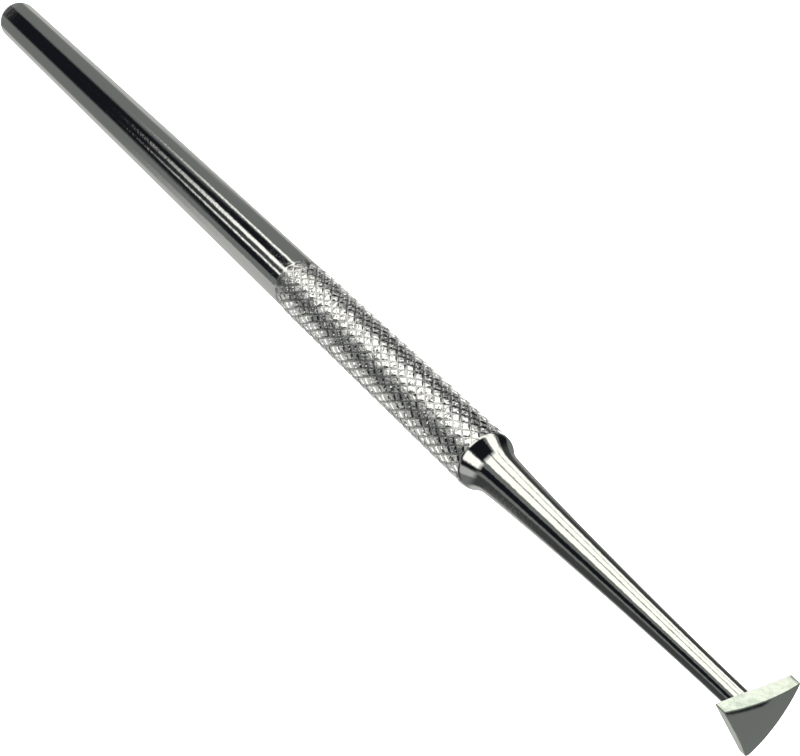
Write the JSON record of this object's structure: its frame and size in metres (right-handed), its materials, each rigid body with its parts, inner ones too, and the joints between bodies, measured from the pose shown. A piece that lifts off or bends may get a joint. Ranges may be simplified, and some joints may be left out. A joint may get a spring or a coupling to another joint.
{
  "type": "spudger",
  "caption": "Slim polished steel hand tool: round handle with a diamond-knurled grip, tapered shank, and a small flat-sided triangular head set square across its tip.",
  "frame": {"origin": "centre of the small flat on the butt, on the tool's axis", "axes": "+X along the tool from the butt to the head; +Z normal to the head's upper flat side, so that one corner of the head points down; +Y completes a right-handed frame"},
  "size_m": [0.1691, 0.008, 0.0076],
  "materials": {
    "polished_bar": "bright polished stainless steel, rolled diamond knurl on the grip",
    "polished_shank": "bright polished stainless steel, turned taper",
    "ground_head": "ground flat sides with fine straight grind lines, polished domed front",
    "silver_braze": "smooth silver braze fillet"
  },
  "bodies": {
    "root": {"handle": "polished_bar", "shank": "polished_shank", "head": "ground_head", "braze_fillet": "silver_braze"}
  },
  "joints": []
}
